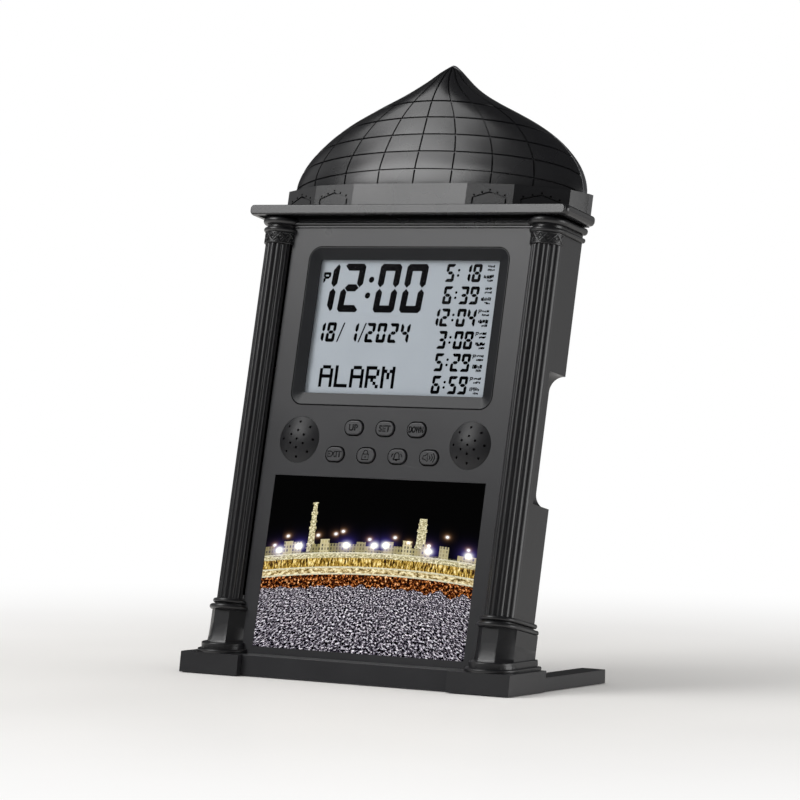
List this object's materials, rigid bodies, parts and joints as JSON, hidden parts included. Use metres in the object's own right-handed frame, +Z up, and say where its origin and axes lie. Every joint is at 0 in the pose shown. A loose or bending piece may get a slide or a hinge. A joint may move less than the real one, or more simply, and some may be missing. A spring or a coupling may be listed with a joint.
{
  "type": "azan clock",
  "caption": "Desk clock that leans back on two long feet: case with display, keys and speakers between reeded columns, under a cornice and a half dome.",
  "frame": {"origin": "centre of the footprint, on the surface that the clock stands on", "axes": "+Z up, the front with display and keys faces -Y, +X to the right seen from the front"},
  "size_m": [0.1462, 0.073, 0.2309],
  "materials": {
    "charcoal_abs": "satin, moulded",
    "black_abs": "satin, moulded",
    "foot_abs": "satin, moulded",
    "bezel_abs": "matt, moulded",
    "grille_abs": "matt, moulded",
    "key_plastic": "satin, moulded",
    "picture_print": "printed card under gloss film",
    "clear_acrylic": "clear, polished",
    "lcd_face": "grey display face",
    "black_silicone": "matt",
    "pad_rubber": "matt",
    "circuit_board": "solder mask",
    "component_black": "matt",
    "wire_pvc": "gloss",
    "steel_screw": "zinc plated",
    "steel_sheet": "pressed",
    "spring_wire": "nickel plated",
    "paper_cone": "pressed paper",
    "magnet_ferrite": "sintered",
    "cell_jacket": "gloss"
  },
  "bodies": {
    "case": {"front_panel": "charcoal_abs", "picture_card": "picture_print", "cornice": "black_abs", "drum_band": "black_abs", "dome_shell": "black_abs", "back_cover": "charcoal_abs", "battery_cells": "cell_jacket", "battery_springs": "spring_wire", "battery_contacts": "spring_wire", "plinth_strip": "charcoal_abs", "foot_pads": "pad_rubber", "lcd_bezel": "bezel_abs", "lcd_window": "clear_acrylic", "lcd_glass": "lcd_face", "light_guide": "clear_acrylic", "contact_strips": "black_silicone", "keypad_mat": "black_silicone", "main_board": "circuit_board", "board_components": "component_black", "battery_leads": "wire_pvc", "speaker_leads": "wire_pvc", "case_screws": "steel_screw", "board_screws": "steel_screw", "column_screws": "steel_screw", "foot_screws": "steel_screw", "left_column": "black_abs", "left_pedestal": "black_abs", "left_foot": "foot_abs", "left_speaker_grille": "grille_abs", "left_speaker_frame": "steel_sheet", "left_speaker_cone": "paper_cone", "left_speaker_magnet": "magnet_ferrite", "right_column": "black_abs", "right_pedestal": "black_abs", "right_foot": "foot_abs", "right_speaker_grille": "grille_abs", "right_speaker_frame": "steel_sheet", "right_speaker_cone": "paper_cone", "right_speaker_magnet": "magnet_ferrite"},
    "up_key": {"up_key": "key_plastic"},
    "set_key": {"set_key": "key_plastic"},
    "down_key": {"down_key": "key_plastic"},
    "exit_key": {"exit_key": "key_plastic"},
    "lock_key": {"lock_key": "key_plastic"},
    "alarm_key": {"alarm_key": "key_plastic"},
    "volume_key": {"volume_key": "key_plastic"},
    "battery_door": {"battery_door": "charcoal_abs"}
  },
  "joints": [
    {"name": "up_key_press", "type": "slide", "parent": "case", "child": "up_key", "axis": [0, 0.9781, -0.2079], "range_m": [0, 0.0008], "stiffness_N_per_m": 300, "springref_m": -0.001},
    {"name": "set_key_press", "type": "slide", "parent": "case", "child": "set_key", "axis": [0, 0.9781, -0.2079], "range_m": [0, 0.0008], "stiffness_N_per_m": 300, "springref_m": -0.001},
    {"name": "down_key_press", "type": "slide", "parent": "case", "child": "down_key", "axis": [0, 0.9781, -0.2079], "range_m": [0, 0.0008], "stiffness_N_per_m": 300, "springref_m": -0.001},
    {"name": "exit_key_press", "type": "slide", "parent": "case", "child": "exit_key", "axis": [0, 0.9781, -0.2079], "range_m": [0, 0.0008], "stiffness_N_per_m": 300, "springref_m": -0.001},
    {"name": "lock_key_press", "type": "slide", "parent": "case", "child": "lock_key", "axis": [0, 0.9781, -0.2079], "range_m": [0, 0.0008], "stiffness_N_per_m": 300, "springref_m": -0.001},
    {"name": "alarm_key_press", "type": "slide", "parent": "case", "child": "alarm_key", "axis": [0, 0.9781, -0.2079], "range_m": [0, 0.0008], "stiffness_N_per_m": 300, "springref_m": -0.001},
    {"name": "volume_key_press", "type": "slide", "parent": "case", "child": "volume_key", "axis": [0, 0.9781, -0.2079], "range_m": [0, 0.0008], "stiffness_N_per_m": 300, "springref_m": -0.001},
    {"name": "battery_door_slide", "type": "slide", "parent": "case", "child": "battery_door", "axis": [1, 0, 0], "range_m": [0, 0.008]}
  ]
}
